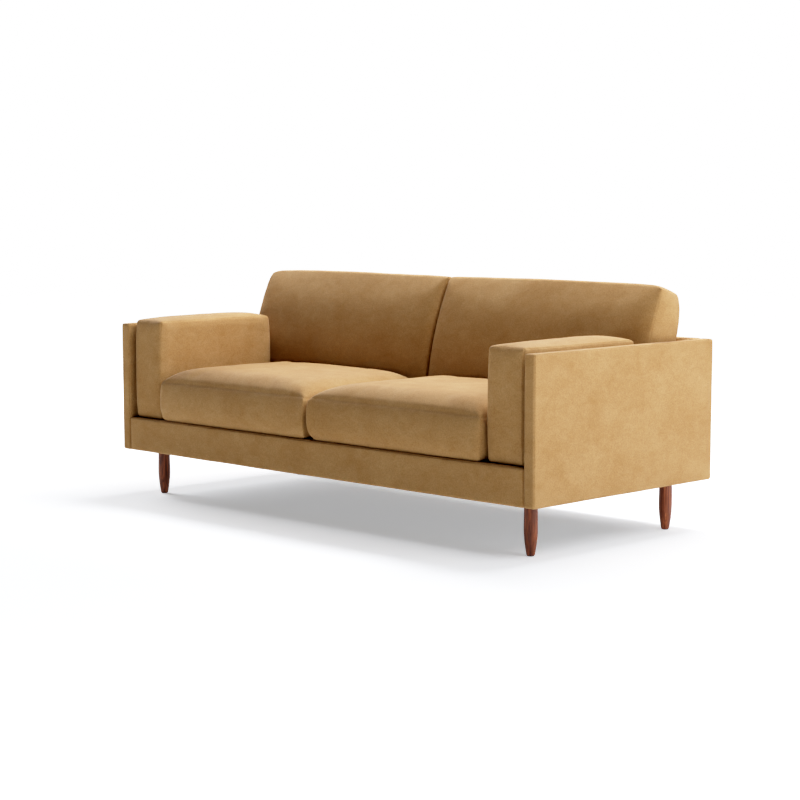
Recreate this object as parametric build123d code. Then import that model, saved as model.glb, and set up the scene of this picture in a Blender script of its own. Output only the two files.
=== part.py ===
from build123d import *
import math
import os

# Two-seat sofa on turned wooden legs. Millimetres, +Z up, front faces -Y, +X is the sitter's
# left hand side, which is the right of someone who faces the sofa.
# The origin is on the floor under the middle of the sofa.

# Overall sizes
WIDTH = 2130.0
DEPTH = 948.0
PANEL_TOP = 670.0
PANEL_BOTTOM = 176.0
PANEL_THICKNESS = 46.5
DECK_HEIGHT = 305.0

# Upholstery
PADDING = 6.0  # foam and fabric over a panel's frame
PANEL_ROUND = 8.0
FRONT_PADDING = 8.0
RAIL_ROUND = 12.0
RAIL_LOWER_ROUND = 3.0
HEM_LINE = 8.0  # from the front rail's rear face to the hem of its cover, underneath
DUST_COVER_LAP = 7.0  # how far the dust cover laps under the front rail
CLOTH = 1.0
DECK_PAD = 13.0
FRAME_GAP = 0.2  # between a wooden frame and the cover around it
SIDE_GAP = 0.2  # between parts that butt against a side panel

# Wooden frames inside the panels
POST_WIDTH = 70.0
BOTTOM_BOARD = 120.0
TOP_BOARD = 60.0
STILE_WIDTH = 40.0
SIDE_STILES = 3
BACK_STILES = 7

# Base frame
BOARD = 22.0
BASE_TOP = 291.0
SPRING_RAIL_FRONT = 230.0
BRACE_TOP = 255.0
BRACE_BOTTOM = 184.0
BLOCK_LENGTH = 100.0
BLOCK_DEPTH = 153.5
BLOCK_HEIGHT = 40.0

# Legs
LEG_X = 953.6
LEG_Y = 359.0
LEG_TOP_RADIUS = 22.2
LEG_BELLY_RADIUS = 23.4
LEG_FOOT_RADIUS = 14.2
LEG_BELLY_HEIGHT = 92.0
LEG_FOOT_CHAMFER = 1.5
LEG_BOLT_DEPTH = 38.0
LEG_BOLT_END_GAP = 0.5
GLIDE_RADIUS = 12.0
GLIDE_HEIGHT = 3.0
GLIDE_CHAMFER = 0.8

# Fasteners, M8
BOLT_RADIUS = 4.0
BOLT_CLEARANCE = 4.4
HEAD_HEIGHT = 5.3
HEAD_RADIUS = 7.5
WASHER_RADIUS = 12.0
WASHER_THICKNESS = 1.6
INSERT_RADIUS = 6.0
INSERT_GAP = 0.05
INSERT_BORE = 4.1
INSERT_LENGTH = 25.0
HANGER_BOLT_RISE = 29.0  # above the underside of the base
BOLT_HEIGHT = 240.0
BOLT_REACH = 53.0
PANEL_INSERT_LENGTH = 24.5
SIDE_BOLTS_Y = (-250.0, -25.0, 200.0)
BACK_BOLTS_X = (-800.0, -300.0, 300.0, 800.0)

# Sinuous springs
SPRING_COUNT = 10
SPRING_SPACING = 196.0
SPRING_HEIGHT = 278.0
WIRE_RADIUS = 2.0
WAVE_HALF_WIDTH = 24.0
WAVES = 14
BEND_SHARE = 0.46  # radius of a bend, as a share of one wave's length
END_BAR_CUT = 2.0  # how much shorter the bar in a clip is, at its free end
CLIP_WIDTH = 22.0
CLIP_DEPTH = 14.0
CLIP_WALL = 1.4
WIRE_GAP = 0.1
TIE_RADIUS = 1.25
TIE_LINES_Y = (-270.0, -100.0, 70.0)

# Inside back: the pitched face behind the back cushions
BACK_FACE_FOOT = (250.0, DECK_HEIGHT)
BACK_FACE_HEAD = (334.0, 656.0)
BACK_FACE_ROUND = 5.0
DECK_REAR_GAP = 5.0  # between the deck and the foot of the inside back
RIB_THICKNESS = 18.0
RIBS_X = (-1005.0, -500.0, 0.0, 500.0, 1005.0)
STRAP_WIDTH = 60.0
STRAP_THICKNESS = 2.0
STRAP_SHARES = (0.2, 0.4, 0.6, 0.8)
STRAP_END_GAP = 1.0

# Loose cushions
REST_GAP = 0.3  # under each loose cushion
CORE_GAP = 0.3
ARM_X = (843.0, 1013.0)
ARM_Y = (-453.0, 104.0)
ARM_TOP = 697.0
ARM_ROUND = 18.0
SEAT_X = (1.0, 842.0)
SEAT_Y = (-474.0, 122.0)
SEAT_CROWN = 504.0
SEAT_FRONT_SEAM = 461.0
SEAT_BROW = (-378.0, 489.0)  # where the sloping front of the top meets the crown
SEAT_CROWN_Y = -180.0
SEAT_REAR_TOP = 495.0
SEAT_SEAM_ROUND = 20.0
SEAT_BROW_ROUND = 60.0
BACK_X = (1.0, 1014.0)
BACK_FOOT_Y = (130.0, 240.0)
BACK_BOW = (154.0, 585.0)  # a point on the bowed front, in the YZ plane
BACK_REAR_BOW = (329.5, 665.0)  # a point on the bowed rear
BACK_FRONT_CORNER = (263.0, 874.5)
BACK_REAR_CORNER = (357.0, 846.0)
BACK_ROUND = 28.0

# Foam cores, and the fibre wadding that is quilted to the inside of each cover
ARM_WADDING = 14.0
SEAT_WADDING_ENDS = 38.0
SEAT_WADDING_FRONT = 36.0
SEAT_WADDING_REAR = 24.0
SEAT_WADDING_BELOW = 14.0
SEAT_CORE_TOP = 446.0
BACK_WADDING = 24.0
BACK_WADDING_ENDS = 40.0

# Zips in the cushion covers
SEAT_ZIP = 640.0
SEAT_ZIP_HEIGHT = 390.0
ARM_ZIP = 420.0
ARM_ZIP_HEIGHT = 348.0
BACK_ZIP = 800.0
BACK_ZIP_SHARE = 0.91  # how far down the rear of the cushion it is
ZIP_TAPE_WIDTH = 26.0
ZIP_TAPE_THICKNESS = 0.8
COIL_WIDTH = 5.0
COIL_HEIGHT = 2.0
COIL_ROUND = 0.7
SLIDER_START = 1.0
SLIDER_LENGTH = 11.0
SLIDER_WIDTH = 9.0
SLIDER_HEIGHT = 3.4
SLIDER_ROUND = 2.0
SLIDER_PLAY = 0.15
PULL_LENGTH = 24.0
PULL_WIDTH = 5.0
PULL_THICKNESS = 1.0
PULL_ROUND = 1.8

# Worked-out places
INNER_X = WIDTH / 2 - PANEL_THICKNESS
BUTT_X = INNER_X - SIDE_GAP
RAIL_END_X = INNER_X - BOARD
FRONT = -DEPTH / 2
RAIL_FRONT = FRONT + FRONT_PADDING
RAIL_BACK = RAIL_FRONT + BOARD
BACK = DEPTH / 2
BACK_FRONT = BACK - PANEL_THICKNESS
REAR_RAIL_FRONT = BACK_FRONT - BOARD
SPRING_RAIL_BACK = SPRING_RAIL_FRONT + BOARD
BASE_BOTTOM = PANEL_BOTTOM + CLOTH
DECK_Y = (RAIL_BACK, BACK_FACE_FOOT[0] - DECK_REAR_GAP)
CUSHION_BOTTOM = DECK_HEIGHT + REST_GAP


def block(x, y, z):
    """A box from its low and high limits along each axis."""
    size = Box(x[1] - x[0], y[1] - y[0], z[1] - z[0])
    return Pos((x[0] + x[1]) / 2, (y[0] + y[1]) / 2, (z[0] + z[1]) / 2) * size


def rod(radius, start, end):
    """A round bar between two points."""
    a = Vector(*start)
    b = Vector(*end)
    plane = Plane(origin=a, z_dir=(b - a).normalized())
    return extrude(plane * Circle(radius), (b - a).length)


def mirrored(shape):
    return mirror(shape, about=Plane.YZ)


def save(name, shapes):
    """Writes one node. Its pieces stay separate solids."""
    solids = []
    for shape in shapes:
        solids.extend(shape.solids())
    node = solids[0] if len(solids) == 1 else Compound(solids)
    export_step(node, f"parts/{name}.step")


# ---------------------------------------------------------------- base frame


def front_rail():
    return block((-BUTT_X, BUTT_X), (RAIL_FRONT, RAIL_BACK), (BASE_BOTTOM, BASE_TOP))


def spring_rail():
    y = (SPRING_RAIL_FRONT, SPRING_RAIL_BACK)
    return block((-RAIL_END_X, RAIL_END_X), y, (BASE_BOTTOM, BASE_TOP))


def rear_rail():
    y = (REAR_RAIL_FRONT, BACK_FRONT)
    rail = block((-BUTT_X, BUTT_X), y, (BASE_BOTTOM, BASE_TOP))
    for x in BACK_BOLTS_X:
        rail -= rod(BOLT_CLEARANCE, (x, y[0] - 1, BOLT_HEIGHT), (x, y[1] + 1, BOLT_HEIGHT))
    return rail


def right_end_rail():
    x = (RAIL_END_X, BUTT_X)
    rail = block(x, (RAIL_BACK, REAR_RAIL_FRONT), (BASE_BOTTOM, BASE_TOP))
    for y in SIDE_BOLTS_Y:
        rail -= rod(BOLT_CLEARANCE, (x[0] - 1, y, BOLT_HEIGHT), (x[1] + 1, y, BOLT_HEIGHT))
    return rail


def centre_braces():
    x = (-BOARD / 2, BOARD / 2)
    z = (BRACE_BOTTOM, BRACE_TOP)
    front = block(x, (RAIL_BACK, SPRING_RAIL_FRONT), z)
    rear = block(x, (SPRING_RAIL_BACK, REAR_RAIL_FRONT), z)
    return [front, rear]


def leg_places():
    return [(sx * LEG_X, sy * LEG_Y) for sy in (-1, 1) for sx in (-1, 1)]


def leg_mounting_blocks():
    blocks = []
    x = (RAIL_END_X - BLOCK_LENGTH, RAIL_END_X)
    z = (BASE_BOTTOM, BASE_BOTTOM + BLOCK_HEIGHT)
    for y in ((RAIL_BACK, RAIL_BACK + BLOCK_DEPTH), (REAR_RAIL_FRONT - BLOCK_DEPTH, REAR_RAIL_FRONT)):
        right = block(x, y, z)
        leg_y = math.copysign(LEG_Y, y[0])
        right -= rod(INSERT_RADIUS, (LEG_X, leg_y, z[0] - 1), (LEG_X, leg_y, z[1] + 1))
        blocks += [right, mirrored(right)]
    return blocks


def tube(outer, inner, start, end):
    return rod(outer, start, end) - rod(inner, start, end)


def leg_inserts():
    top = BASE_BOTTOM + INSERT_LENGTH
    outer = INSERT_RADIUS - INSERT_GAP
    return [tube(outer, INSERT_BORE, (x, y, BASE_BOTTOM), (x, y, top)) for x, y in leg_places()]


# ---------------------------------------------------------------- legs


def leg(x, y):
    """A turned leg: widest below its middle, tapering to a foot with a small chamfer."""
    foot = GLIDE_HEIGHT
    with BuildPart() as turned:
        with BuildSketch(Plane.XZ):
            with BuildLine():
                upper = Spline(
                    (LEG_TOP_RADIUS, PANEL_BOTTOM),
                    (LEG_BELLY_RADIUS, LEG_BELLY_HEIGHT),
                    tangents=((0.02, -1), (0, -1)),
                )
                lower = Spline(
                    upper @ 1,
                    (LEG_FOOT_RADIUS, foot + LEG_FOOT_CHAMFER),
                    tangents=((0, -1), (-0.17, -1)),
                )
                Polyline(
                    lower @ 1,
                    (LEG_FOOT_RADIUS - LEG_FOOT_CHAMFER, foot),
                    (0, foot),
                    (0, PANEL_BOTTOM),
                    upper @ 0,
                )
            make_face()
        revolve(axis=Axis.Z)
    shape = Pos(x, y, 0) * turned.part
    bottom = PANEL_BOTTOM - LEG_BOLT_DEPTH
    return shape - rod(INSERT_BORE, (x, y, bottom), (x, y, PANEL_BOTTOM + 1))


def hanger_bolts():
    bottom = PANEL_BOTTOM - LEG_BOLT_DEPTH + LEG_BOLT_END_GAP
    top = BASE_BOTTOM + HANGER_BOLT_RISE
    return [rod(BOLT_RADIUS, (x, y, bottom), (x, y, top)) for x, y in leg_places()]


def leg_glides():
    """Round glides, domed by a small chamfer at the floor."""
    glides = []
    for x, y in leg_places():
        disc = rod(GLIDE_RADIUS, (x, y, 0), (x, y, GLIDE_HEIGHT))
        glides.append(chamfer(disc.edges().sort_by(Axis.Z)[0], GLIDE_CHAMFER))
    return glides


# ---------------------------------------------------------------- covers of the base


def front_rail_cover():
    """The padded fabric round the front rail: front, rolled top, and a hem underneath."""
    hem = RAIL_BACK - HEM_LINE
    outside = block((-BUTT_X, BUTT_X), (FRONT, RAIL_BACK), (PANEL_BOTTOM, DECK_HEIGHT))
    front_edges = outside.edges().filter_by(Axis.X).group_by(Axis.Y)[0].sort_by(Axis.Z)
    outside = fillet(front_edges[-1], RAIL_ROUND)
    lower = outside.edges().filter_by(Axis.X).sort_by(Axis.Z)[:2].sort_by(Axis.Y)[0]
    outside = fillet(lower, RAIL_LOWER_ROUND)
    rail_space = block((-BUTT_X, BUTT_X), (RAIL_FRONT, RAIL_BACK), (BASE_BOTTOM, BASE_TOP))
    under = block((-BUTT_X, BUTT_X), (hem, RAIL_BACK), (PANEL_BOTTOM, BASE_BOTTOM))
    return outside - rail_space - under


def dust_cover():
    y = (RAIL_BACK - DUST_COVER_LAP, BACK_FRONT)
    sheet = block((-BUTT_X, BUTT_X), y, (PANEL_BOTTOM, BASE_BOTTOM))
    for x, y in leg_places():
        sheet -= rod(INSERT_BORE, (x, y, PANEL_BOTTOM - 1), (x, y, BASE_BOTTOM + 1))
    return sheet


def deck_pad():
    return block((-BUTT_X, BUTT_X), DECK_Y, (BASE_TOP, BASE_TOP + DECK_PAD))


def deck_cloth():
    return block((-BUTT_X, BUTT_X), DECK_Y, (DECK_HEIGHT - CLOTH, DECK_HEIGHT))


# ---------------------------------------------------------------- springs


def spring_places():
    first = -SPRING_SPACING * (SPRING_COUNT - 1) / 2
    return [first + i * SPRING_SPACING for i in range(SPRING_COUNT)]


def spring_ends():
    inset = CLIP_WALL + WIRE_RADIUS + WIRE_GAP
    return RAIL_BACK + inset, SPRING_RAIL_FRONT - inset


def spring_wire():
    """One sinuous wire at x = 0: bars across, joined by round bends, an end bar in each clip."""
    start, end = spring_ends()
    pitch = (end - start) / WAVES
    side = WAVE_HALF_WIDTH
    points = [(side - END_BAR_CUT, start)]
    for i in range(WAVES):
        side = -side
        points += [(side, start + i * pitch), (side, start + (i + 1) * pitch)]
    points.append((-side + math.copysign(END_BAR_CUT, side), end))
    path = Plane.XY.offset(SPRING_HEIGHT) * FilletPolyline(*points, radius=pitch * BEND_SHARE)
    section = Plane(origin=path @ 0, z_dir=path % 0) * Circle(WIRE_RADIUS)
    return sweep(section, path=path)


def seat_springs():
    wire = spring_wire()
    return [Pos(x, 0, 0) * wire for x in spring_places()]


def spring_clip():
    """A folded strip, open towards the spring, at x = 0 on the front rail."""
    half = WIRE_RADIUS + WIRE_GAP + CLIP_WALL
    y = (RAIL_BACK, RAIL_BACK + CLIP_DEPTH)
    z = (SPRING_HEIGHT - half, SPRING_HEIGHT + half)
    x = (-CLIP_WIDTH / 2, CLIP_WIDTH / 2)
    slot = block(x, (y[0] + CLIP_WALL, y[1]), (z[0] + CLIP_WALL, z[1] - CLIP_WALL))
    return block(x, y, z) - slot


def spring_clips():
    front = spring_clip()
    rear = mirror(front, about=Plane.XZ.offset(-(RAIL_BACK + SPRING_RAIL_FRONT) / 2))
    return [Pos(x, 0, 0) * clip for x in spring_places() for clip in (front, rear)]


def spring_tie_wires():
    z = SPRING_HEIGHT + WIRE_RADIUS + TIE_RADIUS + WIRE_GAP
    return [rod(TIE_RADIUS, (-RAIL_END_X, y, z), (RAIL_END_X, y, z)) for y in TIE_LINES_Y]


# ---------------------------------------------------------------- panels


def panel_boards(length, stiles):
    """A frame in the XZ plane: two posts, a bottom and a top board, and evenly spaced stiles."""
    margin = PADDING + FRAME_GAP
    height = PANEL_TOP - PANEL_BOTTOM - 2 * margin
    y = (0, PANEL_THICKNESS - 2 * margin)
    between = (POST_WIDTH, length - POST_WIDTH)
    boards = [
        block((0, POST_WIDTH), y, (0, height)),
        block((length - POST_WIDTH, length), y, (0, height)),
        block(between, y, (0, BOTTOM_BOARD)),
        block(between, y, (height - TOP_BOARD, height)),
    ]
    gap = (length - 2 * POST_WIDTH - stiles * STILE_WIDTH) / (stiles + 1)
    for i in range(stiles):
        x = POST_WIDTH + gap + i * (gap + STILE_WIDTH)
        boards.append(block((x, x + STILE_WIDTH), y, (BOTTOM_BOARD, height - TOP_BOARD)))
    return boards


def hollow_panel(x, y, z):
    """A padded cover with rounded edges, and the space for the frame inside it."""
    outside = block(x, y, z)
    outside = fillet(outside.edges(), PANEL_ROUND)
    inside = [(side[0] + PADDING, side[1] - PADDING) for side in (x, y, z)]
    return outside - block(*inside)


def right_side_cover():
    x = (INNER_X, WIDTH / 2)
    cover = hollow_panel(x, (FRONT, BACK), (PANEL_BOTTOM, PANEL_TOP))
    for y in SIDE_BOLTS_Y:
        start = (x[0] - 1, y, BOLT_HEIGHT)
        end = (x[0] + PADDING + 1, y, BOLT_HEIGHT)
        cover -= rod(BOLT_CLEARANCE, start, end)
    return cover


def right_side_frame():
    margin = PADDING + FRAME_GAP
    inner = INNER_X + margin
    outer = WIDTH / 2 - margin
    place = Pos(outer, FRONT + margin, PANEL_BOTTOM + margin) * Rot(0, 0, 90)
    placed = [place * board for board in panel_boards(DEPTH - 2 * margin, SIDE_STILES)]
    for y in SIDE_BOLTS_Y:
        start = (inner - 1, y, BOLT_HEIGHT)
        end = (inner + INSERT_LENGTH, y, BOLT_HEIGHT)
        placed[2] -= rod(INSERT_RADIUS, start, end)
    return placed


def back_cover():
    y = (BACK_FRONT, BACK)
    cover = hollow_panel((-BUTT_X, BUTT_X), y, (PANEL_BOTTOM, PANEL_TOP))
    for x in BACK_BOLTS_X:
        start = (x, y[0] - 1, BOLT_HEIGHT)
        end = (x, y[0] + PADDING + 1, BOLT_HEIGHT)
        cover -= rod(BOLT_CLEARANCE, start, end)
    return cover


def back_frame():
    margin = PADDING + FRAME_GAP
    end = BUTT_X - margin
    inner = BACK_FRONT + margin
    place = Pos(-end, inner, PANEL_BOTTOM + margin)
    placed = [place * board for board in panel_boards(2 * end, BACK_STILES)]
    for x in BACK_BOLTS_X:
        start = (x, inner - 1, BOLT_HEIGHT)
        end = (x, inner + INSERT_LENGTH, BOLT_HEIGHT)
        placed[2] -= rod(INSERT_RADIUS, start, end)
    return placed


# ---------------------------------------------------------------- panel bolts


def bolt_parts():
    """A bolt, its washer and its insert, along +Z, with the rail's face at z = 0."""
    washer = tube(WASHER_RADIUS, BOLT_CLEARANCE, (0, 0, -WASHER_THICKNESS), (0, 0, 0))
    seat = Plane.XY.offset(-WASHER_THICKNESS)
    head = extrude(seat * RegularPolygon(HEAD_RADIUS, 6), -HEAD_HEIGHT)
    shank = rod(BOLT_RADIUS, (0, 0, -WASHER_THICKNESS), (0, 0, BOLT_REACH))
    start = BOARD + PADDING + FRAME_GAP + SIDE_GAP
    end = start + PANEL_INSERT_LENGTH
    insert = tube(INSERT_RADIUS - INSERT_GAP, INSERT_BORE, (0, 0, start), (0, 0, end))
    return head + shank, washer, insert


def placed_bolt_parts(places):
    bolts, washers, inserts = [], [], []
    bolt, washer, insert = bolt_parts()
    for place in places:
        bolts.append(place * bolt)
        washers.append(place * washer)
        inserts.append(place * insert)
    return bolts, washers, inserts


def side_bolt_places():
    right = [Pos(RAIL_END_X, y, BOLT_HEIGHT) * Rot(0, 90, 0) for y in SIDE_BOLTS_Y]
    left = [Pos(-RAIL_END_X, y, BOLT_HEIGHT) * Rot(0, -90, 0) for y in SIDE_BOLTS_Y]
    return right + left


def back_bolt_places():
    return [Pos(x, REAR_RAIL_FRONT, BOLT_HEIGHT) * Rot(-90, 0, 0) for x in BACK_BOLTS_X]


# ---------------------------------------------------------------- inside back


def back_face_y(z, behind=0.0):
    """Where the pitched face is at a height, or a plane at some depth behind it."""
    rise = BACK_FACE_HEAD[1] - BACK_FACE_FOOT[1]
    run = BACK_FACE_HEAD[0] - BACK_FACE_FOOT[0]
    slope = run / rise
    return BACK_FACE_FOOT[0] + (z - BACK_FACE_FOOT[1]) * slope + behind * math.hypot(1, slope)


def prism(points, x):
    """An outline in the YZ plane, extruded between two x limits."""
    face = make_face(Polyline(*[(0, y, z) for y, z in points], close=True))
    return extrude(Pos(x[0], 0, 0) * face, x[1] - x[0], dir=(1, 0, 0))


def inside_back_cover():
    """The padded cover of the pitched face and of the shelf behind it."""
    head = BACK_FACE_HEAD[1]
    outline = [
        (back_face_y(BASE_TOP), BASE_TOP),
        (back_face_y(head), head),
        (BACK_FRONT, head),
        (BACK_FRONT, head - PADDING),
        (back_face_y(head - PADDING, PADDING), head - PADDING),
        (back_face_y(BASE_TOP, PADDING), BASE_TOP),
    ]
    cover = prism(outline, (-BUTT_X, BUTT_X))
    top_edges = cover.edges().filter_by(Axis.X).group_by(Axis.Z)[-1]
    return fillet(top_edges.sort_by(Axis.Y)[0], BACK_FACE_ROUND)


def back_ribs():
    depth = PADDING + STRAP_THICKNESS + 2 * FRAME_GAP
    top = BACK_FACE_HEAD[1] - PADDING - FRAME_GAP
    outline = [
        (back_face_y(BASE_TOP, depth), BASE_TOP),
        (back_face_y(top, depth), top),
        (BACK_FRONT - FRAME_GAP, top),
        (BACK_FRONT - FRAME_GAP, BASE_TOP),
    ]
    half = RIB_THICKNESS / 2
    return [prism(outline, (x - half, x + half)) for x in RIBS_X]


def back_webbing():
    """Straps stretched across the ribs, just under the cover."""
    straps = []
    front = PADDING + FRAME_GAP
    rear = front + STRAP_THICKNESS
    height = BACK_FACE_HEAD[1] - BASE_TOP
    for share in STRAP_SHARES:
        low = BASE_TOP + share * height - STRAP_WIDTH / 2
        high = low + STRAP_WIDTH
        outline = [
            (back_face_y(low, front), low),
            (back_face_y(high, front), high),
            (back_face_y(high, rear), high),
            (back_face_y(low, rear), low),
        ]
        straps.append(prism(outline, (-BUTT_X + STRAP_END_GAP, BUTT_X - STRAP_END_GAP)))
    return straps


# ---------------------------------------------------------------- loose cushions


def arm_cushion(inset):
    """A boxed cushion, smaller by inset on every side."""
    x = (ARM_X[0] + inset, ARM_X[1] - inset)
    y = (ARM_Y[0] + inset, ARM_Y[1] - inset)
    z = (CUSHION_BOTTOM + inset, ARM_TOP - inset)
    shape = block(x, y, z)
    return fillet(shape.edges(), ARM_ROUND - inset)


def rounded_at(face, point, radius):
    """Rounds the corner of a face in the YZ plane that is nearest to a point."""
    corner = face.vertices().sort_by_distance((0, *point))[0]
    return fillet(corner, radius)


def seat_side_outline():
    """The seat cushion from the side: upright front, a sloping brow, and a crowned top."""
    front, rear = SEAT_Y
    brow = (0, *SEAT_BROW)
    crown = ThreePointArc(brow, (0, SEAT_CROWN_Y, SEAT_CROWN), (0, rear, SEAT_REAR_TOP))
    front_corner = (front, SEAT_FRONT_SEAM)
    lower_rear = (0, rear, CUSHION_BOTTOM)
    lower_front = (0, front, CUSHION_BOTTOM)
    walls = Polyline(crown @ 1, lower_rear, lower_front, (0, *front_corner), brow)
    face = rounded_at(make_face(crown + walls), front_corner, SEAT_SEAM_ROUND)
    return rounded_at(face, SEAT_BROW, SEAT_BROW_ROUND)


def seat_cushion():
    """A cushion with a crowned top."""
    length = SEAT_X[1] - SEAT_X[0]
    return extrude(Pos(SEAT_X[0], 0, 0) * seat_side_outline(), length, dir=(1, 0, 0))


def seat_core(gap):
    """A plain block of foam."""
    x = (SEAT_X[0] + SEAT_WADDING_ENDS + gap, SEAT_X[1] - SEAT_WADDING_ENDS - gap)
    y = (SEAT_Y[0] + SEAT_WADDING_FRONT + gap, SEAT_Y[1] - SEAT_WADDING_REAR - gap)
    z = (CUSHION_BOTTOM + SEAT_WADDING_BELOW + gap, SEAT_CORE_TOP - gap)
    return block(x, y, z)


def back_cushion_rear():
    """The bowed rear of the back cushion from the side, from its top down."""
    foot = (0, BACK_FOOT_Y[1], CUSHION_BOTTOM)
    return ThreePointArc((0, *BACK_REAR_CORNER), (0, *BACK_REAR_BOW), foot)


def back_cushion(inset, end_inset):
    """A cushion that leans back, gently bowed in front and behind, with a rounded top."""
    front_foot = (0, BACK_FOOT_Y[0], CUSHION_BOTTOM)
    front = ThreePointArc(front_foot, (0, *BACK_BOW), (0, *BACK_FRONT_CORNER))
    top = Line(front @ 1, (0, *BACK_REAR_CORNER))
    rear = back_cushion_rear()
    foot = Line(rear @ 1, front_foot)
    face = make_face([front, top, rear, foot])
    for corner in (BACK_FRONT_CORNER, BACK_REAR_CORNER):
        face = rounded_at(face, corner, BACK_ROUND)
    face = offset(face, -inset)
    x = (BACK_X[0] + end_inset, BACK_X[1] - end_inset)
    return extrude(Pos(x[0], 0, 0) * face, x[1] - x[0], dir=(1, 0, 0))


def back_core(gap):
    return back_cushion(BACK_WADDING + gap, BACK_WADDING_ENDS + gap)


def arm_core(gap):
    return arm_cushion(ARM_WADDING + gap)


def cover_and_core(cushion, core):
    """A wadded fabric shell and the foam core inside it."""
    return cushion - core(0), core(CORE_GAP)


# ---------------------------------------------------------------- zips


def zip_tape(length):
    """The tape with its coil, along +X, standing up from z = 0."""
    half = ZIP_TAPE_WIDTH / 2
    tape = block((0, length), (-half, half), (0, ZIP_TAPE_THICKNESS))
    top = ZIP_TAPE_THICKNESS + COIL_HEIGHT
    coil = block((0, length), (-COIL_WIDTH / 2, COIL_WIDTH / 2), (ZIP_TAPE_THICKNESS, top))
    coil = fillet(coil.edges().filter_by(Axis.X).group_by(Axis.Z)[-1], COIL_ROUND)
    return tape + coil


def zip_slider():
    """The slider that straddles the coil, with its pull tab lying flat."""
    base = ZIP_TAPE_THICKNESS + SLIDER_PLAY
    x = (SLIDER_START, SLIDER_START + SLIDER_LENGTH)
    body = block(x, (-SLIDER_WIDTH / 2, SLIDER_WIDTH / 2), (base, base + SLIDER_HEIGHT))
    body = fillet(body.edges().filter_by(Axis.Z), SLIDER_ROUND)
    half = COIL_WIDTH / 2 + SLIDER_PLAY
    ceiling = ZIP_TAPE_THICKNESS + COIL_HEIGHT + SLIDER_PLAY
    body -= block((0, x[1] + 1), (-half, half), (0, ceiling))
    low = base + SLIDER_HEIGHT - PULL_THICKNESS
    tab = block(
        (x[1] - 1, x[1] + PULL_LENGTH),
        (-PULL_WIDTH / 2, PULL_WIDTH / 2),
        (low, low + PULL_THICKNESS),
    )
    tab = fillet(tab.edges().filter_by(Axis.Z), PULL_ROUND)
    return body + tab


def seat_zip_plane():
    start = (SEAT_X[0] + SEAT_X[1] - SEAT_ZIP) / 2
    return Plane(origin=(start, SEAT_Y[1], SEAT_ZIP_HEIGHT), x_dir=(1, 0, 0), z_dir=(0, 1, 0))


def arm_zip_plane():
    start = (ARM_Y[0] + ARM_Y[1] - ARM_ZIP) / 2
    return Plane(origin=(ARM_X[1], start, ARM_ZIP_HEIGHT), x_dir=(0, 1, 0), z_dir=(1, 0, 0))


def back_zip_plane():
    """Against the rear of the back cushion, low down."""
    rear = back_cushion_rear()
    share = BACK_ZIP_SHARE
    place = rear @ share
    slope = rear % share
    start = (BACK_X[0] + BACK_X[1] - BACK_ZIP) / 2
    outward = (0, -slope.Z, slope.Y)
    return Plane(origin=(start, place.Y, place.Z), x_dir=(1, 0, 0), z_dir=outward)


# ---------------------------------------------------------------- nodes


def write_base():
    save("front_rail", [front_rail()])
    save("spring_rail", [spring_rail()])
    save("rear_rail", [rear_rail()])
    save("right_end_rail", [right_end_rail()])
    save("left_end_rail", [mirrored(right_end_rail())])
    save("centre_braces", centre_braces())
    save("leg_mounting_blocks", leg_mounting_blocks())
    save("leg_inserts", leg_inserts())
    save("hanger_bolts", hanger_bolts())
    save("leg_glides", leg_glides())
    names = ("front_left_leg", "front_right_leg", "rear_left_leg", "rear_right_leg")
    for name, (x, y) in zip(names, leg_places()):
        save(name, [leg(x, y)])
    save("front_rail_cover", [front_rail_cover()])
    save("dust_cover", [dust_cover()])
    save("deck_pad", [deck_pad()])
    save("deck_cloth", [deck_cloth()])
    save("seat_springs", seat_springs())
    save("spring_clips", spring_clips())
    save("spring_tie_wires", spring_tie_wires())


def write_panels():
    save("right_side_cover", [right_side_cover()])
    save("left_side_cover", [mirrored(right_side_cover())])
    frame = right_side_frame()
    save("right_side_frame", frame)
    save("left_side_frame", [mirrored(board) for board in frame])
    save("back_cover", [back_cover()])
    save("back_frame", back_frame())
    for name, places in (("side", side_bolt_places()), ("back", back_bolt_places())):
        bolts, washers, inserts = placed_bolt_parts(places)
        save(f"{name}_bolts", bolts)
        save(f"{name}_bolt_washers", washers)
        save(f"{name}_bolt_inserts", inserts)
    save("inside_back_cover", [inside_back_cover()])
    save("back_ribs", back_ribs())
    save("back_webbing", back_webbing())


def write_cushions():
    kinds = (
        ("arm_cushion", arm_cushion(0), arm_core, arm_zip_plane(), ARM_ZIP),
        ("seat_cushion", seat_cushion(), seat_core, seat_zip_plane(), SEAT_ZIP),
        ("back_cushion", back_cushion(0, 0), back_core, back_zip_plane(), BACK_ZIP),
    )
    for kind, cushion, foam, plane, length in kinds:
        cover, core = cover_and_core(cushion, foam)
        pieces = {
            "cover": cover,
            "core": core,
            "zip": plane.location * zip_tape(length),
            "zip_slider": plane.location * zip_slider(),
        }
        for piece, shape in pieces.items():
            save(f"{kind}_right_{piece}", [shape])
            save(f"{kind}_left_{piece}", [mirrored(shape)])


os.makedirs("parts", exist_ok=True)
write_base()
write_panels()
write_cushions()
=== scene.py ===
import math

import bmesh
import bpy
import numpy as np
from mathutils import Euler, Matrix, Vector, noise


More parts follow.
